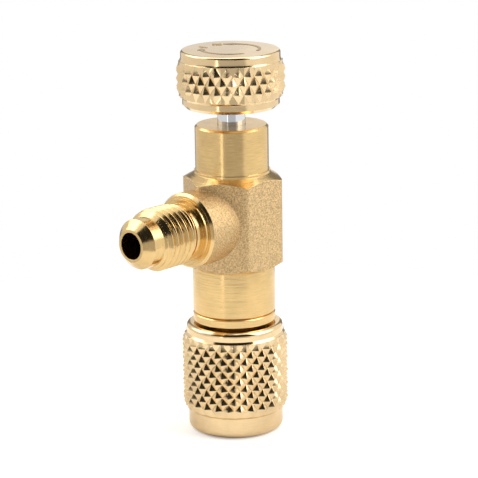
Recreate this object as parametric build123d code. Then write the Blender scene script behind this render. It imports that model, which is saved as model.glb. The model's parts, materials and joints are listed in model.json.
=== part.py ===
"""Refrigerant service valve: a hand-turned core depressor with a swivel coupling nut and a flare side port.

Frame: +Z runs up the main axis, from the mouth of the coupling nut (z = 0) to the top of the knob.
The side port points along -Y. All sizes are in millimetres.
"""
import math
import os

from build123d import *

# ---- clearances -------------------------------------------------------------
press_gap = 0.01            # radial, between pieces pressed or screwed together
running_gap = 0.05          # radial, sliding and turning fits of the stem
ring_gap = 0.02             # radial, rubber rings in their grooves
swivel_gap = 0.15           # radial, coupling nut on the shank of the tail piece
float_gap = 0.3             # axial play of pieces that turn past each other

# ---- heights along the main axis, counted from the nut mouth ----------------
nut_height = 20.1
washer_gap = 0.4            # the dark gap over the nut
washer_thickness = 1.6
lower_barrel_height = 8.5
hex_height = 17.5           # from one turned cone to the other, measured on the barrels
upper_barrel_height = 8.5
stem_showing = 3.3          # bare stem between body and knob, valve closed off
knob_height = 10.2

washer_base = nut_height + washer_gap
body_base = washer_base + washer_thickness
hex_base = body_base + lower_barrel_height
hex_top = hex_base + hex_height
body_top = hex_top + upper_barrel_height
knob_base = body_top + stem_showing

# ---- body outside -----------------------------------------------------------
lower_barrel_radius = 7.5
upper_barrel_radius = 6.6
barrel_chamfer = 0.35
base_ring_radius = 6.85     # low turned step where the upper barrel meets the cone
base_ring_height = 0.3
hex_across_flats = 16.0
hex_corner_rounding = 1.1
cone_angle = 30.0           # turned cones at both ends of the hexagon, from level

# ---- side port, distances counted from the nose face inwards -----------------
port_reach = 25.8           # nose face from the main axis
boss_radius = 6.75
boss_face = 12.4            # boss face from the main axis
boss_chamfer = 0.45
port_bore_radius = 2.4
nose_rim_radius = 2.9
flare_cone_radius = 4.45    # large end of the 45 degree sealing cone, and the plain neck behind it
neck_end = 3.8
port_thread_radius = 5.55   # 7/16-20 UNF, 11.1 across the crests
port_thread_start = 4.9
port_thread_end = 11.3
relief_radius = 5.1
relief_width = 1.4

# ---- body inside --------------------------------------------------------------
stem_radius = 2.5
top_wall = 1.5
stem_thread_radius = 2.95
stem_thread_length = 4.8
piston_radius = 3.4
piston_length = 5.2
stem_neck_radius = 1.6
stem_neck_length = 9.7
stem_chamfer = 0.3
tail_thread_radius = 4.2
tail_thread_length = 7.6
tail_ring_seat_depth = 1.2

# ---- rubber rings ------------------------------------------------------------
stem_ring_section = 0.96
stem_ring_groove_width = 1.3
upper_ring_from_piston_top = 1.5
ring_spacing = 2.4
tail_ring_section = 0.96

# ---- depressor pin -------------------------------------------------------------
pin_radius = 1.0
pin_length = 21.4           # below the neck of the stem
pin_socket_depth = 5.0
pin_tip_chamfer = 0.3

# ---- tail piece and gasket ----------------------------------------------------
shank_radius = 4.7
tail_bore_radius = 1.9
flange_radius = 5.4
flange_thickness = 3.4
gasket_recess_depth = 0.8
gasket_thickness = 1.2
gasket_outer_radius = 4.6
gasket_inner_radius = 2.4

# ---- knurls --------------------------------------------------------------------
knurl_tip_radius = 9.75
knurl_depth = 0.7
knurl_end_depth = 0.25      # height of the crests where the knurl is bevelled off
knurl_bevel_height = 0.4    # plain cones at both ends of a knurl

# ---- coupling nut ---------------------------------------------------------------
nut_roof = 3.2
nut_thread_radius = 5.72    # 1/2-20 UNF, minor radius
nut_thread_length = 11.5
nut_mouth_chamfer = 0.45
nut_relief_radius = 6.45
nut_band_radius = 8.67
nut_band_height = 3.8
nut_band_rounding = 1.2
nut_shoulder_height = 1.7
nut_knurl_height = nut_height - nut_band_height - nut_shoulder_height - 2 * knurl_bevel_height
nut_knurl_around = 26
nut_knurl_half_rows = 11
nut_shoulder_radius = 8.8
nut_shoulder_rounding = 0.85

# ---- knob ------------------------------------------------------------------------
knob_foot_radius = 8.7
knob_foot_height = 1.6
knob_foot_chamfer = 0.6
knob_land_height = 1.4
knob_knurl_height = knob_height - knob_foot_height - knob_land_height - 2 * knurl_bevel_height
knob_knurl_around = 28
knob_knurl_half_rows = 4
knob_land_radius = 8.9
knob_land_rounding = 0.5
knob_socket_depth = 6.6
knob_recess_radius = 3.6
knob_recess_depth = 0.4

# ---- places that follow from the sizes above -------------------------------------
knurl_valley_radius = knurl_tip_radius - knurl_depth
hex_corner_radius = hex_across_flats / 2 / math.cos(math.radians(30))
port_axis_height = (hex_base + hex_top) / 2
top_wall_base = body_top - top_wall
stem_thread_top = top_wall_base - float_gap
stem_thread_base = stem_thread_top - stem_thread_length
piston_top = stem_thread_base
bore_step = piston_top + float_gap
piston_base = piston_top - piston_length
neck_base = piston_base - stem_neck_length
stem_bore_radius = stem_radius + running_gap
stem_thread_bore_radius = stem_thread_radius + running_gap
seal_bore_radius = piston_radius + running_gap
tail_top = body_base + tail_thread_length
tail_hole_top = tail_top + float_gap
tail_hole_radius = tail_thread_radius + press_gap
nut_roof_base = nut_height - nut_roof
flange_top = nut_roof_base - float_gap
flange_base = flange_top - flange_thickness
knob_top = knob_base + knob_height
stem_top = knob_base + knob_socket_depth


def turned(points):
    """One turned piece: a closed outline of (radius, height) points, spun about the main axis."""
    outline = Polyline(*[(r, 0, z) for r, z in points], close=True)
    return revolve(make_face(outline), Axis.Z)


def disc(radius, base, top):
    """A plain round bar on the main axis."""
    return Pos(0, 0, base) * extrude(Circle(radius), top - base)


def on_port(shape):
    """Lays a piece that was turned about +Z down on the side port, its +Z pointing outwards."""
    return Pos(0, 0, port_axis_height) * Rot(90, 0, 0) * shape


def rubber_ring(inner_radius, section, height):
    """A rubber ring of round section, centred at a height on the main axis."""
    return Pos(0, 0, height) * Torus(inner_radius + section / 2, section / 2)


def knurl_belt(base, height, around, half_rows):
    """A solid belt of diamond knurling: each diamond is a pyramid of four flat facets."""
    step = 2 * math.pi / around
    rise = height / half_rows

    def point(radius, turns, j):
        return Vector(radius * math.cos(turns * step), radius * math.sin(turns * step), base + j * rise)

    def corner(i, j):
        return point(knurl_valley_radius, i + j / 2, j)

    def crest(i, j):
        depth = knurl_end_depth if j in (0, half_rows) else knurl_depth
        return point(knurl_valley_radius + depth, i + (j + 1) / 2, j)

    facets = []
    for j in range(half_rows + 1):
        for i in range(around):
            left, right, tip = corner(i, j), corner(i + 1, j), crest(i, j)
            if j < half_rows:
                upper = corner(i, j + 1)
                facets += [(left, tip, upper), (tip, right, upper)]
            if j > 0:
                lower = corner(i + 1, j - 1)
                facets += [(left, lower, tip), (lower, right, tip)]
    faces = [Face(Wire.make_polygon(facet, close=True)) for facet in facets]
    for j in (0, half_rows):
        rim = [point for i in range(around) for point in (corner(i, j), crest(i, j))]
        faces.append(Face(Wire.make_polygon(rim, close=True)))
    return Solid(Shell(faces))


def body():
    """The forged and turned body: two barrels, a hexagon between them and the side port."""
    barrels = turned([
        (0, body_base),
        (lower_barrel_radius - barrel_chamfer, body_base),
        (lower_barrel_radius, body_base + barrel_chamfer),
        (lower_barrel_radius, hex_base + base_ring_height),
        (base_ring_radius, hex_base + base_ring_height),
        (base_ring_radius, hex_top + base_ring_height),
        (upper_barrel_radius, hex_top + base_ring_height),
        (upper_barrel_radius, body_top - barrel_chamfer),
        (upper_barrel_radius - barrel_chamfer, body_top),
        (0, body_top),
    ])
    slope = math.tan(math.radians(cone_angle))
    lower_rise = (hex_corner_radius - lower_barrel_radius) * slope
    upper_rise = (hex_corner_radius - upper_barrel_radius) * slope
    cones = turned([
        (0, hex_base),
        (lower_barrel_radius, hex_base),
        (hex_corner_radius, hex_base + lower_rise),
        (hex_corner_radius, hex_top - upper_rise),
        (upper_barrel_radius, hex_top),
        (0, hex_top),
    ])
    # a corner of the hexagon faces the port
    corners = RegularPolygon(hex_corner_radius, 6, rotation=30)
    blank = Pos(0, 0, hex_base) * extrude(fillet(corners.vertices(), hex_corner_rounding), hex_height)
    hexagon = blank & cones

    boss = on_port(extrude(Circle(boss_radius), boss_face))
    forging = hexagon + boss
    rim = [
        edge for edge in forging.edges().filter_by(GeomType.CIRCLE)
        if abs(edge.center().Y + boss_face) < press_gap
    ]
    forging = chamfer(rim, boss_chamfer)

    reach = port_reach
    port = on_port(turned([
        (0, 0),
        (relief_radius, 0),
        (relief_radius, reach - port_thread_end),
        (port_thread_radius - barrel_chamfer, reach - port_thread_end),
        (port_thread_radius, reach - port_thread_end + barrel_chamfer),
        (port_thread_radius, reach - port_thread_start),
        (flare_cone_radius, reach - neck_end),
        (flare_cone_radius, reach - (flare_cone_radius - nose_rim_radius)),
        (nose_rim_radius, reach),
        (0, reach),
    ]))
    flange = on_port(disc(port_thread_radius + barrel_chamfer, 0, reach - port_thread_end - relief_width))

    hollow = turned([
        (0, body_base),
        (tail_hole_radius + tail_ring_section, body_base),
        (tail_hole_radius + tail_ring_section, body_base + tail_ring_seat_depth),
        (tail_hole_radius, body_base + tail_ring_seat_depth),
        (tail_hole_radius, tail_hole_top),
        (seal_bore_radius, tail_hole_top + tail_hole_radius - seal_bore_radius),
        (seal_bore_radius, bore_step),
        (stem_thread_bore_radius, bore_step),
        (stem_thread_bore_radius, top_wall_base),
        (stem_bore_radius, top_wall_base),
        (stem_bore_radius, body_top),
        (0, body_top),
    ])
    port_bore = on_port(disc(port_bore_radius, 0, reach))
    return barrels + forging + port + flange - hollow - port_bore


def stem():
    """The steel stem: bare end for the knob, thread, and a piston with two ring grooves."""
    groove_floor = seal_bore_radius - 2 * ring_gap - stem_ring_section
    outline = [(0, neck_base), (stem_neck_radius - stem_chamfer, neck_base)]
    outline += [(stem_neck_radius, neck_base + stem_chamfer), (stem_neck_radius, piston_base)]
    outline += [(piston_radius - stem_chamfer, piston_base), (piston_radius, piston_base + stem_chamfer)]
    for middle in (upper_ring_height - ring_spacing, upper_ring_height):
        low, high = middle - stem_ring_groove_width / 2, middle + stem_ring_groove_width / 2
        outline += [(piston_radius, low), (groove_floor, low), (groove_floor, high), (piston_radius, high)]
    outline += [
        (piston_radius, piston_top),
        (stem_thread_radius, piston_top),
        (stem_thread_radius, stem_thread_top - stem_chamfer),
        (stem_radius, stem_thread_top),
        (stem_radius, stem_top - stem_chamfer),
        (stem_radius - stem_chamfer, stem_top),
        (0, stem_top),
    ]
    socket = disc(pin_radius + press_gap, neck_base, neck_base + pin_socket_depth)
    return turned(outline) - socket


def stem_ring(height):
    """A rubber ring that seals the piston in the bore."""
    inner_radius = seal_bore_radius - ring_gap - stem_ring_section
    return rubber_ring(inner_radius, stem_ring_section, height)


def depressor_pin():
    """The pin pressed into the stem, which pushes the valve core open."""
    base, top = neck_base - pin_length, neck_base + pin_socket_depth
    return turned([
        (0, base),
        (pin_radius - pin_tip_chamfer, base),
        (pin_radius, base + pin_tip_chamfer),
        (pin_radius, top),
        (0, top),
    ])


def knurled_bar(base, foot_radius, knurl_height, around, half_rows, land_radius):
    """The knurl with its bevels, on the foot below it and the land above it."""
    belt_base = base + knurl_bevel_height
    belt_top = belt_base + knurl_height
    lower_bevel = turned([(0, base), (foot_radius, base), (knurl_valley_radius, belt_base), (0, belt_base)])
    upper_bevel = turned([
        (0, belt_top),
        (knurl_valley_radius, belt_top),
        (land_radius, belt_top + knurl_bevel_height),
        (0, belt_top + knurl_bevel_height),
    ])
    return lower_bevel + knurl_belt(belt_base, knurl_height, around, half_rows) + upper_bevel


def knob():
    """The knurled knob pressed on the stem."""
    knurl_base = knob_base + knob_foot_height
    land_base = knob_top - knob_land_height
    foot = turned([
        (0, knob_base),
        (knob_foot_radius - knob_foot_chamfer, knob_base),
        (knob_foot_radius, knob_base + knob_foot_chamfer),
        (knob_foot_radius, knurl_base),
        (0, knurl_base),
    ])
    knurled = knurled_bar(
        knurl_base, knob_foot_radius, knob_knurl_height, knob_knurl_around, knob_knurl_half_rows,
        knob_land_radius
    )
    land = disc(knob_land_radius, land_base, knob_top)
    land = fillet(land.edges().group_by(Axis.Z)[-1], knob_land_rounding)
    socket = disc(stem_radius + press_gap, knob_base, stem_top)
    recess = disc(knob_recess_radius, knob_base, knob_base + knob_recess_depth)
    return foot + knurled + land - socket - recess


def coupling_nut():
    """The swivelling coupling nut: knurled outside, threaded mouth, roof carried by the tail piece."""
    shoulder_base = nut_height - nut_shoulder_height
    band = disc(nut_band_radius, 0, nut_band_height)
    band = fillet(band.edges().group_by(Axis.Z)[0], nut_band_rounding)
    knurled = knurled_bar(
        nut_band_height, nut_band_radius, nut_knurl_height, nut_knurl_around, nut_knurl_half_rows,
        nut_shoulder_radius
    )
    shoulder = disc(nut_shoulder_radius, shoulder_base, nut_height)
    shoulder = fillet(shoulder.edges().group_by(Axis.Z)[-1], nut_shoulder_rounding)
    hollow = turned([
        (0, 0),
        (nut_thread_radius + nut_mouth_chamfer, 0),
        (nut_thread_radius, nut_mouth_chamfer),
        (nut_thread_radius, nut_mouth_chamfer + nut_thread_length),
        (nut_relief_radius, nut_mouth_chamfer + nut_thread_length),
        (nut_relief_radius, nut_roof_base),
        (shank_radius + swivel_gap, nut_roof_base),
        (shank_radius + swivel_gap, nut_height),
        (0, nut_height),
    ])
    return band + knurled + shoulder - hollow


def tail_piece():
    """The tail piece: screwed into the body, its flange holds the nut and the gasket."""
    return turned([
        (tail_bore_radius, flange_base + gasket_recess_depth),
        (gasket_outer_radius + ring_gap, flange_base + gasket_recess_depth),
        (gasket_outer_radius + ring_gap, flange_base),
        (flange_radius, flange_base),
        (flange_radius, flange_top),
        (shank_radius, flange_top),
        (shank_radius, washer_base),
        (tail_thread_radius, washer_base),
        (tail_thread_radius, tail_top - stem_chamfer),
        (tail_thread_radius - stem_chamfer, tail_top),
        (tail_bore_radius, tail_top),
    ])


def thrust_washer():
    """The brass ring clamped between the body and the tail piece."""
    inner_radius = tail_thread_radius + press_gap
    return turned([
        (inner_radius, washer_base),
        (lower_barrel_radius - barrel_chamfer / 2, washer_base),
        (lower_barrel_radius, washer_base + barrel_chamfer / 2),
        (lower_barrel_radius, body_base - barrel_chamfer / 2),
        (lower_barrel_radius - barrel_chamfer / 2, body_base),
        (inner_radius, body_base),
    ])


def nut_gasket():
    """The soft flat gasket in the recess of the tail piece."""
    top = flange_base + gasket_recess_depth
    return disc(gasket_outer_radius, top - gasket_thickness, top) - disc(
        gasket_inner_radius, top - gasket_thickness, top
    )


upper_ring_height = piston_top - upper_ring_from_piston_top
tail_ring_inner_radius = tail_thread_radius + ring_gap

pieces = {
    "valve_body": body(),
    "stem": stem(),
    "stem_o_ring_upper": stem_ring(upper_ring_height),
    "stem_o_ring_lower": stem_ring(upper_ring_height - ring_spacing),
    "depressor_pin": depressor_pin(),
    "knob": knob(),
    "thrust_washer": thrust_washer(),
    "tail_piece": tail_piece(),
    "tail_o_ring": rubber_ring(
        tail_ring_inner_radius, tail_ring_section - 2 * ring_gap, body_base + tail_ring_seat_depth / 2
    ),
    "nut_gasket": nut_gasket(),
    "coupling_nut": coupling_nut(),
}

os.makedirs("parts", exist_ok=True)
for name, shape in pieces.items():
    export_step(shape, f"parts/{name}.step")
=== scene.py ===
"""Dresses the refrigerant service valve: brass, steel and rubber finishes, threads, knurls and stage."""

import json
import math

import bmesh
import bpy
from bpy.props import FloatProperty, FloatVectorProperty, IntProperty, PointerProperty
from mathutils import Matrix, Vector


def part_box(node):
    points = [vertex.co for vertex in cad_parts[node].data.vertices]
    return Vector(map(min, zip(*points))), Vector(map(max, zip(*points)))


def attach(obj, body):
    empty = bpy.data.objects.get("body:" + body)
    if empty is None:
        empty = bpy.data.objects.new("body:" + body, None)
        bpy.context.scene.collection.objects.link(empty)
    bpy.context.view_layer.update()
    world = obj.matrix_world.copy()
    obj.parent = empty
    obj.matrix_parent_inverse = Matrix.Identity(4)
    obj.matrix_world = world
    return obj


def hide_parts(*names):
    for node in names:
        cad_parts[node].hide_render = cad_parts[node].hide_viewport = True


bl_info = {
    "name": "Refrigerant service valve",
    "version": (1, 0, 0),
    "blender": (4, 5, 0),
    "location": "3D View > Sidebar > Valve",
    "description": "Finishes the pieces of a brass refrigerant service valve and sets its stage",
    "category": "Object",
}

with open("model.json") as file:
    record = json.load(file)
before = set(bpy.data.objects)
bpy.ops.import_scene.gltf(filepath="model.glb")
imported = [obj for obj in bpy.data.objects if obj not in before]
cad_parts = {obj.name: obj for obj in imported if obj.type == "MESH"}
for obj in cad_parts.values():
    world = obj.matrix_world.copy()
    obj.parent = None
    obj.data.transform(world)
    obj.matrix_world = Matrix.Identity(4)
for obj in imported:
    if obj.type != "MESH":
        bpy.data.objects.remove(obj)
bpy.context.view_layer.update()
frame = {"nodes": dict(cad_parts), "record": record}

MM = 0.001
TURN = 2 * math.pi
MERGE = 0.001 * MM

# How a V thread is worn, as shares of its turn.
THREAD_ROOT_FLAT = 0.16
THREAD_CREST_FLAT = 0.86

# Where the port's sleeve lies on the body's plain cylinder.
CYLINDER_REACH = 0.4 * MM
CYLINDER_MARGIN = 0.4 * MM
CYLINDER_SUNK = 0.05 * MM
SLEEVE_OVERLAP = 0.3 * MM
SLEEVE_WALL = 0.5 * MM
PORT_RUNOUT = 0.55 * MM

# The same for the sleeve in the nut.
NUT_SEAM = 0.05 * MM
NUT_MARGIN = 0.3 * MM
NUT_SUNK = 0.03 * MM
NUT_SLEEVE_WALL = 0.3 * MM
NUT_RUNOUT = 0.8 * MM

# Regions of the body by radius, and the finish that each gets.
BLASTED, TURNED, PORT_TURNED = range(3)
CHAMBER_RADIUS = 5 * MM
PORT_BORE_RADIUS = 3 * MM
PORT_BORE_START = 4 * MM
PORT_RADIUS = 8 * MM
BOSS_RADIUS = 7 * MM
BOSS_MARGIN = 0.6 * MM
LEVEL_FACE = 0.7

# What counts as a crest of the knurl.
KNURL_INNER = 8.9 * MM
KNURL_ANGLE = math.radians(25)
FLAT_ANGLE = math.radians(0.5)
THREAD_SMOOTH_ANGLE = math.radians(60)

# The marks on the knob, in degrees around it.
OPEN_SWING = (20, 128)
CLOSE_SWING = (340, 232)
PLUS_ANGLE = 160
MINUS_ANGLE = 200
SIGN_SIZE = 2.0 * MM
MARK_SUNK = 0.02 * MM
ARROW_STEPS = 16
ARROW_HALF_WIDTH = 2.6
ARROW_LENGTH = 3.2

# The stage.
FLOOR_RADIUS = 0.11
FLOOR_DROP = 0.05 * MM
FLOOR_GLOW = 0.30
LAMP_TARGET = Vector((0, 0, 35 * MM))
CAMERA_TARGET = Vector((0, 0, 35.3 * MM))
CAMERA_SHIFT = 1.03 * MM

# Radiance of the studio's parts.
WALL, RIGHT_WALL, FRONT, BRIGHT_STRIP = 0.80, 0.98, 0.56, 2.6
DARK_GAP, SOFTBOX, BACK_STRIP, CEILING = 0.02, 2.8, 0.25, 0.95


def mount(name):
    return next(entry for entry in frame["record"]["mounts"] if entry["name"] == name)


port_thread = mount("side_port_thread")
port_height = port_thread["pos_m"][2]
port_middle = -port_thread["pos_m"][1]
nut_thread = mount("coupling_thread")


# ---- settings ---------------------------------------------------------------

class BodySettings(bpy.types.PropertyGroup):
    boss_face: FloatProperty(
        name="Boss face", description="Distance of the port's boss face from the main axis",
        default=12.4 * MM, unit="LENGTH")
    hex_base: FloatProperty(
        name="Hexagon base", description="Height at which the lower turned cone starts",
        default=30.6 * MM, unit="LENGTH")
    hex_top: FloatProperty(
        name="Hexagon top", description="Height at which the upper turned cone ends",
        default=48.1 * MM, unit="LENGTH")
    brass: FloatVectorProperty(
        name="Brass", description="Colour of the turned brass", subtype="COLOR",
        default=(0.83, 0.58, 0.26), min=0, max=1)
    knurled: FloatVectorProperty(
        name="Knurled brass", description="Colour of the knob and the nut", subtype="COLOR",
        default=(0.93, 0.70, 0.40), min=0, max=1)
    blasted: FloatVectorProperty(
        name="Blasted brass", description="Colour of the blasted forging", subtype="COLOR",
        default=(0.78, 0.55, 0.28), min=0, max=1)
    grain: FloatProperty(
        name="Grain", description="Size of the pits left by blasting",
        default=0.24 * MM, unit="LENGTH")


class ThreadSettings(bpy.types.PropertyGroup):
    pitch: FloatProperty(
        name="Pitch", description="Pitch of both 20-per-inch threads", default=1.27 * MM, unit="LENGTH")
    depth: FloatProperty(
        name="Depth", description="Depth of the thread from crest to root", default=0.68 * MM, unit="LENGTH")
    chamfer: FloatProperty(
        name="Chamfer", description="Length of the cone at the start of the port's thread",
        default=1.1 * MM, unit="LENGTH")
    columns: IntProperty(name="Columns", description="Steps around each thread", default=120, min=24)
    rows: IntProperty(name="Rows", description="Steps along each pitch", default=12, min=6)


class KnurlSettings(bpy.types.PropertyGroup):
    ridge: FloatProperty(
        name="Ridge", description="Width to which the crests of the knurl are worn", default=0.05 * MM,
        unit="LENGTH")


class MarkSettings(bpy.types.PropertyGroup):
    radius: FloatProperty(
        name="Radius", description="Radius of the turning arrows on the knob",
        default=5.2 * MM, unit="LENGTH")
    width: FloatProperty(
        name="Width", description="Width of the marks' lines", default=0.55 * MM, unit="LENGTH")
    relief: FloatProperty(
        name="Relief", description="Height of the marks", default=0.06 * MM, unit="LENGTH")


class SteelSettings(bpy.types.PropertyGroup):
    steel: FloatVectorProperty(
        name="Steel", description="Colour of the polished stem", subtype="COLOR",
        default=(0.80, 0.82, 0.85), min=0, max=1)
    rubber: FloatVectorProperty(
        name="Rubber", description="Colour of the seals", subtype="COLOR",
        default=(0.025, 0.025, 0.026), min=0, max=1)


class StageSettings(bpy.types.PropertyGroup):
    azimuth: FloatProperty(
        name="Azimuth", description="Turn of the camera from the port's direction", subtype="ANGLE",
        default=math.radians(43.0))
    elevation: FloatProperty(
        name="Elevation", description="Height of the camera as an angle", subtype="ANGLE",
        default=math.radians(15.0))
    roll: FloatProperty(
        name="Roll", description="Roll of the camera", subtype="ANGLE", default=math.radians(-0.88))
    distance: FloatProperty(
        name="Distance", description="Camera to the middle of the valve", default=404 * MM, unit="LENGTH")
    lens: FloatProperty(name="Lens", description="Focal length", default=168.3)


# ---- meshes ------------------------------------------------------------------

def cad_bmesh(node):
    """A merged copy of a CAD node's mesh."""
    shape = bmesh.new()
    shape.from_mesh(frame["nodes"][node].data)
    bmesh.ops.remove_doubles(shape, verts=shape.verts, dist=MERGE)
    return shape


def shade(shape, sharp_angle=math.radians(28)):
    """Smooth faces, with sharp edges where the surface turns."""
    for face in shape.faces:
        face.smooth = True
    for edge in shape.edges:
        edge.smooth = edge.is_manifold and edge.calc_face_angle(0) < sharp_angle


def as_piece(shape, name, materials, body, replaced=()):
    """Makes an object of a finished bmesh and ties it to a body of the frame."""
    mesh = bpy.data.meshes.new(name)
    shape.to_mesh(mesh)
    shape.free()
    piece = bpy.data.objects.new(name, mesh)
    bpy.context.scene.collection.objects.link(piece)
    for material in materials:
        mesh.materials.append(material)
    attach(piece, body)
    if replaced:
        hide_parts(*replaced)
    return piece


def finish_node(node, material):
    """Gives a CAD node its material."""
    mesh = frame["nodes"][node].data
    mesh.materials.clear()
    mesh.materials.append(material)


def thread_height(turns):
    """Height of a worn V thread, 0 at the root and 1 at the crest, by the turn of its helix."""
    across = abs(2 * (turns % 1.0) - 1)
    flank = (across - THREAD_ROOT_FLAT) / (THREAD_CREST_FLAT - THREAD_ROOT_FLAT)
    return min(max(flank, 0.0), 1.0)


def thread_sleeve(start, length, crest, root, hidden, settings, place, runout, nose=None):
    """A closed sleeve with a helical thread; crest and root are radii, hidden is its plain inner side.

    With a nose radius, a 45 degree cone cuts the crests down to it at the far end.
    """
    rows = int(length / settings.pitch * settings.rows)
    shape = bmesh.new()
    steps = [shape.verts.new((crest, 0, start + length * i / rows)) for i in range(rows + 1)]
    edges = [shape.edges.new(pair) for pair in zip(steps, steps[1:])]
    inner = [shape.verts.new((hidden, 0, height)) for height in (start + length, start)]
    loop = steps + inner
    edges += [shape.edges.new((loop[i], loop[(i + 1) % len(loop)])) for i in range(rows, len(loop))]
    bmesh.ops.spin(
        shape, geom=edges + loop, axis=(0, 0, 1), cent=(0, 0, 0), angle=TURN, steps=settings.columns,
        use_merge=True, use_duplicate=False)
    middle = (crest + root) / 2
    for vert in shape.verts:
        radius = math.hypot(vert.co.x, vert.co.y)
        if abs(radius - hidden) < abs(hidden - middle) / 2:
            continue
        turn = math.atan2(vert.co.y, vert.co.x) / TURN
        height = thread_height((vert.co.z - start) / settings.pitch - turn)
        to_end = start + length - vert.co.z
        from_end = vert.co.z - start if nose else min(vert.co.z - start, to_end)
        wanted = root + (crest - root) * height * min(1.0, from_end / runout)
        if nose:
            wanted = min(wanted, nose + to_end)
        vert.co.x *= wanted / radius
        vert.co.y *= wanted / radius
    bmesh.ops.transform(shape, matrix=place, verts=shape.verts)
    bmesh.ops.recalc_face_normals(shape, faces=shape.faces)
    shade(shape, THREAD_SMOOTH_ANGLE)
    return shape


def polar(radius, degrees):
    """Flat coordinates of a point given by radius and angle."""
    angle = math.radians(degrees)
    return radius * math.cos(angle), radius * math.sin(angle)


def arrow_outline(radius, width, first, last):
    """A curved arrow from the first to the last angle, with its head beyond the last."""
    half = width / 2
    swing = [first + (last - first) * step / ARROW_STEPS for step in range(ARROW_STEPS + 1)]
    head = math.copysign(math.degrees(ARROW_LENGTH * half / radius), last - first)
    wing = ARROW_HALF_WIDTH * half
    outline = [polar(radius + half, degrees) for degrees in swing]
    outline += [polar(radius + wing, last), polar(radius, last + 2 * head), polar(radius - wing, last)]
    return outline + [polar(radius - half, degrees) for degrees in reversed(swing)]


def bar_outline(place, width, height):
    """A minus sign, or any other bar, around its middle."""
    x, y = place
    return [(x - width / 2, y - height / 2), (x + width / 2, y - height / 2),
            (x + width / 2, y + height / 2), (x - width / 2, y + height / 2)]


def cross_outline(place, size, width):
    """A plus sign around its middle."""
    x, y = place
    a, b = width / 2, size / 2
    steps = [
        (a, a), (a, b), (-a, b), (-a, a), (-b, a), (-b, -a),
        (-a, -a), (-a, -b), (a, -b), (a, -a), (b, -a), (b, a)]
    return [(x + dx, y + dy) for dx, dy in steps]


def raise_outline(shape, outline, low, relief):
    """Adds a closed flat prism over an outline."""
    base = shape.faces.new([shape.verts.new((x, y, low)) for x, y in outline])
    lifted = bmesh.ops.extrude_face_region(shape, geom=[base], use_keep_orig=True)
    verts = [item for item in lifted["geom"] if isinstance(item, bmesh.types.BMVert)]
    bmesh.ops.translate(shape, vec=(0, 0, relief), verts=verts)


# ---- materials ----------------------------------------------------------------

class Finish:
    """A node material built up step by step."""

    def __init__(self, name, color, metallic, roughness):
        self.material = bpy.data.materials.new(name)
        self.material.use_nodes = True
        self.tree = self.material.node_tree
        self.shader = self.tree.nodes["Principled BSDF"]
        self.shader.inputs["Base Color"].default_value = (*color, 1)
        self.shader.inputs["Metallic"].default_value = metallic
        self.shader.inputs["Roughness"].default_value = roughness
        self.place = self.add("ShaderNodeTexCoord").outputs["Object"]

    def add(self, kind, inputs=(), **options):
        node = self.tree.nodes.new(kind)
        for option, value in options.items():
            setattr(node, option, value)
        for key, value in dict(inputs).items():
            if isinstance(value, bpy.types.NodeSocket):
                self.tree.links.new(value, node.inputs[key])
            else:
                node.inputs[key].default_value = value
        return node

    def math(self, operation, first, second=0.0):
        return self.add("ShaderNodeMath", {0: first, 1: second}, operation=operation).outputs[0]

    def noise(self, vector, size, detail=2.0, roughness=0.5):
        node = self.add(
            "ShaderNodeTexNoise",
            {"Vector": vector, "Scale": 1 / size, "Detail": detail, "Roughness": roughness})
        return node.outputs["Fac"]

    def ramp(self, factor, low, high, out_low=0.0, out_high=1.0):
        node = self.add(
            "ShaderNodeMapRange", {"Value": factor, "From Min": low, "From Max": high,
                                   "To Min": out_low, "To Max": out_high})
        return node.outputs["Result"]

    def tint(self, factor, dark, light):
        node = self.add("ShaderNodeMix", {"Factor": factor}, data_type="RGBA")
        node.inputs[6].default_value = (*dark, 1)
        node.inputs[7].default_value = (*light, 1)
        self.tree.links.new(node.outputs[2], self.shader.inputs["Base Color"])

    def drive(self, socket, value):
        self.tree.links.new(value, self.shader.inputs[socket])

    def bump(self, heights, rounding):
        """Chains (height, depth) bumps over edges rounded to a radius."""
        normal = self.add("ShaderNodeBevel", {"Radius": rounding}, samples=4).outputs["Normal"]
        for height, depth in heights:
            normal = self.add(
                "ShaderNodeBump", {"Height": height, "Distance": depth, "Strength": 1.0, "Normal": normal}
            ).outputs["Normal"]
        self.drive("Normal", normal)

    def around(self, axis="Z", height=0.0):
        """Coordinates (radius, distance along the axis, a little of the angle) for turning marks."""
        parts = self.add("ShaderNodeSeparateXYZ", {"Vector": self.place}).outputs
        if axis == "Z":
            first, second, along = parts["X"], parts["Y"], parts["Z"]
        else:
            first, second, along = parts["X"], self.math("SUBTRACT", parts["Z"], height), parts["Y"]
        squares = self.math(
            "ADD", self.math("MULTIPLY", first, first), self.math("MULTIPLY", second, second))
        radius = self.math("SQRT", squares)
        angle = self.math("ARCTAN2", first, second)
        swing = self.math("MULTIPLY", self.math("ABSOLUTE", angle), 0.35 * MM)
        return self.add("ShaderNodeCombineXYZ", {"X": radius, "Y": along, "Z": swing}).outputs[0]


def shift(color, factor):
    """A lighter or darker colour."""
    return tuple(min(1.0, part * factor) for part in color)


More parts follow.
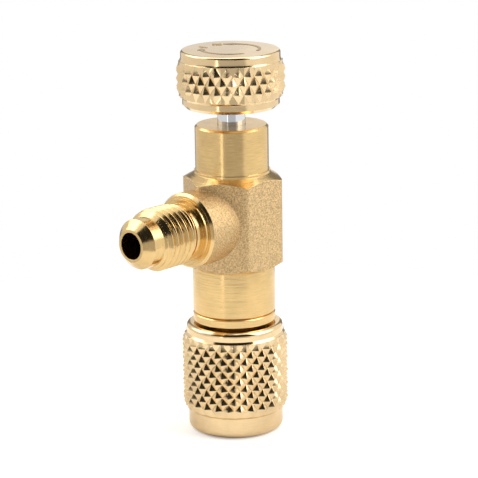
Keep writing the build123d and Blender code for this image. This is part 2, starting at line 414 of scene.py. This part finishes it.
def turned_brass(name, color, roughness, marks, axis="Z", height=0.0, rounding=0.10 * MM):
    """Brass from the lathe: fine lines around the axis, faint stains, softened edges."""
    finish = Finish(name, color, 1.0, roughness)
    lathe = finish.around(axis, height)
    fine = finish.noise(lathe, 0.10 * MM, 3.0)
    coarse = finish.noise(lathe, 0.55 * MM, 2.0)
    cloud = finish.noise(finish.place, 4 * MM, 3.0)
    finish.bump([(fine, 0.008 * MM * marks), (coarse, 0.018 * MM * marks)], rounding)
    streaks = finish.math(
        "ADD", finish.math("MULTIPLY", fine, 0.7 * marks), finish.math("MULTIPLY", cloud, 0.5))
    middle = 0.35 * marks + 0.25
    finish.tint(
        finish.ramp(streaks, middle - 0.17, middle + 0.17), shift(color, 0.83), shift(color, 1.07))
    finish.drive("Roughness", finish.ramp(fine, 0.3, 0.7, roughness * 0.7, roughness * 1.4))
    return finish.material


def blasted_brass(name, color, grain):
    """The forging's blasted skin: small pits and raised grains, with painted shade in the pits and a painted
    highlight on the grains.
    """
    finish = Finish(name, color, 1.0, 0.42)
    pits = finish.noise(finish.place, grain, 2.0, 0.6)
    fine = finish.noise(finish.place, grain * 0.45, 2.0, 0.6)
    waves = finish.noise(finish.place, 2.2 * MM, 2.0)
    finish.bump([(waves, 0.06 * MM), (pits, 0.13 * MM), (fine, 0.05 * MM)], 0.45 * MM)
    # Colour follows the pits' relief: painted shade darkens the pits and a painted highlight lightens the
    # raised grains.
    finish.tint(finish.ramp(pits, 0.34, 0.66), shift(color, 0.56), shift(color, 1.20))
    finish.drive("Roughness", finish.ramp(fine, 0.3, 0.7, 0.28, 0.46))
    return finish.material


def polished_steel(name, color, roughness):
    """Steel ground and polished around the main axis."""
    finish = Finish(name, color, 1.0, roughness)
    lathe = finish.around()
    fine = finish.noise(lathe, 0.12 * MM, 3.0)
    finish.bump([(fine, 0.001 * MM)], 0.08 * MM)
    finish.drive("Roughness", finish.ramp(fine, 0.3, 0.7, roughness * 0.7, roughness * 1.4))
    finish.tint(finish.noise(finish.place, 3 * MM), shift(color, 0.96), shift(color, 1.03))
    return finish.material


def seal_rubber(name, color, roughness):
    """Dull rubber with a fine skin."""
    finish = Finish(name, color, 0.0, roughness)
    skin = finish.noise(finish.place, 0.25 * MM, 3.0)
    finish.bump([(skin, 0.01 * MM)], 0.05 * MM)
    finish.tint(skin, shift(color, 0.7), shift(color, 1.6))
    return finish.material


# ---- operators -------------------------------------------------------------------

class VALVE_OT_body(bpy.types.Operator):
    """Dresses the forged body and cuts the thread of its side port"""
    bl_idname = "valve.body"
    bl_label = "Valve body"

    def execute(self, context):
        settings = context.scene.valve_body
        thread = context.scene.valve_thread
        crest = port_thread["dims"]["r_mm"] * MM
        length = port_thread["dims"]["length_mm"] * MM
        root = crest - thread.depth
        shape = cad_bmesh("valve_body")
        reach = length / 2 + CYLINDER_REACH
        for vert in shape.verts:
            offset = Vector((vert.co.x, 0, vert.co.z - port_height))
            on_cylinder = abs(offset.length - crest) < CYLINDER_MARGIN
            if abs(-vert.co.y - port_middle) < reach and on_cylinder:
                offset *= (root - CYLINDER_SUNK) / offset.length
                vert.co.x, vert.co.z = offset.x, port_height + offset.z
        self.sort_faces(shape, settings)
        shade(shape)
        turned = turned_brass("body turned brass", settings.brass, 0.17, 1.0)
        port_turned = turned_brass("port turned brass", settings.brass, 0.16, 1.0, "Y", port_height)
        blasted = blasted_brass("blasted brass", settings.blasted, settings.grain)
        as_piece(
            shape, "forged_body", [blasted, turned, port_turned], "root", ["valve_body"])

        place = Matrix.Translation((0, 0, port_height)) @ Matrix.Rotation(math.pi / 2, 4, "X")
        sleeve = thread_sleeve(
            port_middle - length / 2 - SLEEVE_OVERLAP, length + SLEEVE_OVERLAP + thread.chamfer,
            crest, root, root - SLEEVE_WALL, thread, place, PORT_RUNOUT, crest - thread.chamfer)
        as_piece(sleeve, "side_port_thread", [port_turned], "root")
        return {"FINISHED"}

    @staticmethod
    def sort_faces(shape, settings):
        """Forging skin on the hexagon and the boss, turned brass elsewhere."""
        for face in shape.faces:
            center = face.calc_center_median()
            normal = face.normal
            radius = math.hypot(center.x, center.y)
            port_radius = math.hypot(center.x, center.z - port_height)
            in_bore = port_radius < PORT_BORE_RADIUS
            inside = radius < CHAMBER_RADIUS or (in_bore and center.y < 0)
            on_port = center.y < -settings.boss_face + BOSS_MARGIN and port_radius < PORT_RADIUS
            if on_port or (in_bore and center.y < -PORT_BORE_START):
                face.material_index = PORT_TURNED
            elif inside or not settings.hex_base < center.z < settings.hex_top:
                face.material_index = TURNED
            elif abs(normal.z) > LEVEL_FACE and port_radius > BOSS_RADIUS:
                face.material_index = TURNED
            else:
                face.material_index = BLASTED


class VALVE_OT_knurled(bpy.types.Operator):
    """Dresses the knurled knob and the knurled coupling nut"""
    bl_idname = "valve.knurled"
    bl_label = "Knob and nut"

    def execute(self, context):
        color = context.scene.valve_body.knurled
        ridge = context.scene.valve_knurl.ridge
        thread = context.scene.valve_thread
        brass = turned_brass("knurled brass", color, 0.11, 0.5, rounding=0.03 * MM)
        as_piece(self.worn("knob", ridge), "knurled_knob", [brass], "stem", ["knob"])

        marks = context.scene.valve_marks
        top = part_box("knob")[1][2]
        shape = bmesh.new()
        outlines = [
            arrow_outline(marks.radius, marks.width, *OPEN_SWING),
            arrow_outline(marks.radius, marks.width, *CLOSE_SWING),
            cross_outline(polar(marks.radius, PLUS_ANGLE), SIGN_SIZE, marks.width),
            bar_outline(polar(marks.radius, MINUS_ANGLE), SIGN_SIZE, marks.width),
        ]
        for outline in outlines:
            raise_outline(shape, outline, top - MARK_SUNK, marks.relief + MARK_SUNK)
        bmesh.ops.recalc_face_normals(shape, faces=shape.faces)
        dark = turned_brass("stamped brass", shift(color, 0.55), 0.35, 0.5, rounding=0.03 * MM)
        as_piece(shape, "knob_marks", [dark], "stem")

        minor = nut_thread["dims"]["r_mm"] * MM
        length = nut_thread["dims"]["length_mm"] * MM
        start = nut_thread["pos_m"][2]
        major = minor + thread.depth
        shape = self.worn("coupling_nut", ridge)
        for vert in shape.verts:
            radius = math.hypot(vert.co.x, vert.co.y)
            if abs(radius - minor) < NUT_SEAM and vert.co.z < start + length + NUT_MARGIN:
                vert.co.x *= (major + NUT_SUNK) / radius
                vert.co.y *= (major + NUT_SUNK) / radius
        as_piece(shape, "knurled_nut", [brass], "nut", ["coupling_nut"])
        sleeve = thread_sleeve(
            start, length, minor, major, major + NUT_SLEEVE_WALL, thread, Matrix.Identity(4),
            NUT_RUNOUT)
        as_piece(sleeve, "nut_thread", [brass], "nut")
        return {"FINISHED"}

    @staticmethod
    def worn(node, ridge):
        """A copy of a knurled node with its ridges worn to a small radius."""
        shape = cad_bmesh(node)
        bmesh.ops.dissolve_limit(
            shape, angle_limit=FLAT_ANGLE, verts=shape.verts, edges=shape.edges)
        ridges = [
            edge for edge in shape.edges
            if edge.is_manifold and edge.is_convex and edge.calc_face_angle(0) > KNURL_ANGLE
            and all(math.hypot(vert.co.x, vert.co.y) > KNURL_INNER for vert in edge.verts)
        ]
        bmesh.ops.bevel(
            shape, geom=ridges, offset=ridge, offset_type="OFFSET", segments=2, profile=0.5,
            affect="EDGES", material=-1, clamp_overlap=True)
        shade(shape)
        return shape


class VALVE_OT_fittings(bpy.types.Operator):
    """Gives the washer, tail piece, stem, pin, rings and gasket their finishes"""
    bl_idname = "valve.fittings"
    bl_label = "Fittings and seals"

    def execute(self, context):
        color = context.scene.valve_body.brass
        steel = context.scene.valve_steel
        brass = turned_brass("fitting brass", color, 0.2, 1.0)
        finish_node("thrust_washer", brass)
        finish_node("tail_piece", brass)
        finish_node("stem", polished_steel("stem steel", steel.steel, 0.08))
        finish_node("depressor_pin", polished_steel("pin steel", shift(steel.steel, 0.9), 0.22))
        rubber = seal_rubber("ring rubber", steel.rubber, 0.4)
        for node in ("stem_o_ring_upper", "stem_o_ring_lower", "tail_o_ring"):
            finish_node(node, rubber)
        finish_node("nut_gasket", seal_rubber("gasket rubber", shift(steel.rubber, 2.2), 0.6))
        return {"FINISHED"}


class Studio:
    """World nodes that light the valve by direction, turned with the stage."""

    def __init__(self, tree, turn):
        self.tree = tree
        direction = self.add("ShaderNodeTexCoord").outputs["Generated"]
        turned = self.add("ShaderNodeVectorRotate", rotation_type="Z_AXIS")
        tree.links.new(direction, turned.inputs["Vector"])
        turned.inputs["Angle"].default_value = -turn
        parts = self.add("ShaderNodeSeparateXYZ")
        tree.links.new(turned.outputs[0], parts.inputs[0])
        ahead = self.math("MULTIPLY", parts.outputs["Y"], -1.0)
        to_degrees = 360 / TURN
        self.azimuth = self.math("MULTIPLY", self.math("ARCTAN2", parts.outputs["X"], ahead), to_degrees)
        self.elevation = self.math("MULTIPLY", self.math("ARCSINE", parts.outputs["Z"]), to_degrees)

    def add(self, kind, **options):
        node = self.tree.nodes.new(kind)
        for option, value in options.items():
            setattr(node, option, value)
        return node

    def plug(self, socket, value):
        if isinstance(value, bpy.types.NodeSocket):
            self.tree.links.new(value, socket)
        else:
            socket.default_value = value

    def math(self, operation, first, second=0.0):
        node = self.add("ShaderNodeMath", operation=operation)
        self.plug(node.inputs[0], first)
        self.plug(node.inputs[1], second)
        return node.outputs[0]

    def step(self, value, at, soft):
        node = self.add("ShaderNodeMapRange", interpolation_type="SMOOTHSTEP")
        self.plug(node.inputs["Value"], value)
        node.inputs["From Min"].default_value = at - soft
        node.inputs["From Max"].default_value = at + soft
        return node.outputs["Result"]

    def band(self, value, low, high, soft):
        """1 between two angles and 0 outside them, with soft edges."""
        return self.math("SUBTRACT", self.step(value, low, soft), self.step(value, high, soft))

    def blend(self, first, second, factor):
        node = self.add("ShaderNodeMix")
        self.plug(node.inputs[0], factor)
        self.plug(node.inputs[2], first)
        self.plug(node.inputs[3], second)
        return node.outputs[0]

    def finish(self, light):
        """The studio for the valve, and plain white behind it."""
        lit = self.add("ShaderNodeBackground")
        self.plug(lit.inputs["Strength"], light)
        lit.inputs["Color"].default_value = (1.0, 0.985, 0.965, 1)
        plain = self.add("ShaderNodeBackground")
        plain.inputs["Color"].default_value = (1, 1, 1, 1)
        mix = self.add("ShaderNodeMixShader")
        self.plug(mix.inputs[0], self.add("ShaderNodeLightPath").outputs["Is Camera Ray"])
        self.plug(mix.inputs[1], lit.outputs[0])
        self.plug(mix.inputs[2], plain.outputs[0])
        self.plug(self.tree.nodes["World Output"].inputs["Surface"], mix.outputs[0])


def toward(turn, lift):
    """Direction from the valve to a lamp or camera, by its azimuth from the port and its elevation."""
    return Vector((math.sin(turn) * math.cos(lift), -math.cos(turn) * math.cos(lift), math.sin(lift)))


class VALVE_OT_stage(bpy.types.Operator):
    """Sets the floor, the light and the camera"""
    bl_idname = "valve.stage"
    bl_label = "Stage"

    def execute(self, context):
        scene = context.scene
        settings = scene.valve_stage
        self.set_floor()
        self.set_world(scene, settings)
        self.set_lamps(settings)
        self.set_camera(scene, settings)
        scene.view_settings.view_transform = "Standard"
        return {"FINISHED"}

    @staticmethod
    def set_floor():
        shape = bmesh.new()
        bmesh.ops.create_circle(shape, cap_ends=True, segments=96, radius=FLOOR_RADIUS)
        mesh = bpy.data.meshes.new("floor")
        shape.to_mesh(mesh)
        shape.free()
        floor = bpy.data.objects.new("floor", mesh)
        floor.location.z = -FLOOR_DROP
        bpy.context.scene.collection.objects.link(floor)
        material = bpy.data.materials.new("floor")
        material.use_nodes = True
        tree = material.node_tree
        shader = tree.nodes["Principled BSDF"]
        shader.inputs["Base Color"].default_value = (0.9, 0.9, 0.9, 1)
        shader.inputs["Roughness"].default_value = 0.9
        shader.inputs["Specular IOR Level"].default_value = 0.0
        shader.inputs["Emission Color"].default_value = (1, 1, 1, 1)
        path = tree.nodes.new("ShaderNodeLightPath")
        glow = tree.nodes.new("ShaderNodeMath")
        glow.operation = "MULTIPLY"
        glow.inputs[1].default_value = FLOOR_GLOW
        tree.links.new(path.outputs["Is Camera Ray"], glow.inputs[0])
        tree.links.new(glow.outputs[0], shader.inputs["Emission Strength"])
        mesh.materials.append(material)

    @staticmethod
    def set_world(scene, settings):
        """A studio seen by direction: pale walls, a dark gap over the camera and dark strips behind."""
        world = bpy.data.worlds.new("studio")
        scene.world = world
        world.use_nodes = True
        studio = Studio(world.node_tree, settings.azimuth)
        front = studio.band(studio.azimuth, -31, 36, 4)
        light = studio.blend(WALL, RIGHT_WALL, studio.band(studio.azimuth, 0, 180, 6))
        light = studio.blend(light, FRONT, front)
        light = studio.blend(light, BRIGHT_STRIP, studio.band(studio.azimuth, -33, -29.5, 1))
        overhead = studio.math(
            "MULTIPLY", studio.band(studio.azimuth, -84, 50, 4), studio.band(studio.elevation, 13, 66, 3))
        light = studio.blend(light, DARK_GAP, overhead)
        for low, high in ((-132, -90), (58, 108)):
            box = studio.math(
                "MULTIPLY", studio.band(studio.azimuth, low, high, 3),
                studio.band(studio.elevation, 18, 62, 4))
            light = studio.blend(light, SOFTBOX, box)
        for low, high in ((-172, -156), (150, 168)):
            light = studio.blend(light, BACK_STRIP, studio.band(studio.azimuth, low, high, 4))
        light = studio.blend(light, CEILING, studio.band(studio.elevation, 72, 91, 5))
        studio.finish(light)

    @staticmethod
    def set_lamps(settings):
        lamps = (
            ("left softbox", -78, 42, 0.50, 0.30, 0.40, 0.42),
            ("right softbox", 72, 38, 0.50, 0.30, 0.40, 0.50),
            ("top softbox", 180, 78, 0.50, 0.40, 0.40, 0.60),
        )
        for name, azimuth, elevation, distance, width, height, power in lamps:
            data = bpy.data.lights.new(name, "AREA")
            data.shape = "RECTANGLE"
            data.size, data.size_y = width, height
            data.energy = power
            lamp = bpy.data.objects.new(name, data)
            bpy.context.scene.collection.objects.link(lamp)
            turn = settings.azimuth + math.radians(azimuth)
            lift = math.radians(elevation)
            back = toward(turn, lift)
            lamp.location = LAMP_TARGET + back * distance
            lamp.rotation_euler = back.to_track_quat("Z", "Y").to_euler()

    @staticmethod
    def set_camera(scene, settings):
        turn, lift, roll = settings.azimuth, settings.elevation, settings.roll
        back = toward(turn, lift)
        right = Vector((math.cos(turn), math.sin(turn), 0))
        up = back.cross(right)
        rolled_right = math.cos(roll) * right + math.sin(roll) * up
        rolled_up = back.cross(rolled_right)
        target = CAMERA_TARGET + right * CAMERA_SHIFT
        camera = bpy.data.objects.new("camera", bpy.data.cameras.new("camera"))
        scene.collection.objects.link(camera)
        camera.data.lens = settings.lens
        camera.data.sensor_width = 36.0
        camera.data.clip_start = 0.01
        pose = Matrix((rolled_right, rolled_up, back)).transposed().to_4x4()
        camera.matrix_world = Matrix.Translation(target + back * settings.distance) @ pose
        scene.camera = camera


class VALVE_PT_panel(bpy.types.Panel):
    """Lists the steps that dress the valve"""
    bl_idname = "VALVE_PT_panel"
    bl_label = "Service valve"
    bl_space_type = "VIEW_3D"
    bl_region_type = "UI"
    bl_category = "Valve"

    def draw(self, context):
        for operator in operators:
            self.layout.operator(operator.bl_idname)
        for name, _ in groups:
            group = getattr(context.scene, name)
            for key in group.__annotations__:
                self.layout.prop(group, key)


groups = (
    ("valve_body", BodySettings),
    ("valve_thread", ThreadSettings),
    ("valve_knurl", KnurlSettings),
    ("valve_marks", MarkSettings),
    ("valve_steel", SteelSettings),
    ("valve_stage", StageSettings),
)
operators = (VALVE_OT_body, VALVE_OT_knurled, VALVE_OT_fittings, VALVE_OT_stage)


def register():
    for name, group in groups:
        bpy.utils.register_class(group)
        setattr(bpy.types.Scene, name, PointerProperty(type=group))
    for cls in (*operators, VALVE_PT_panel):
        bpy.utils.register_class(cls)


def unregister():
    for cls in (VALVE_PT_panel, *reversed(operators)):
        bpy.utils.unregister_class(cls)
    for name, group in reversed(groups):
        delattr(bpy.types.Scene, name)
        bpy.utils.unregister_class(group)


def main():
    register()
    bpy.ops.valve.body()
    bpy.ops.valve.knurled()
    bpy.ops.valve.fittings()
    bpy.ops.valve.stage()


if __name__ == "__main__":
    main()
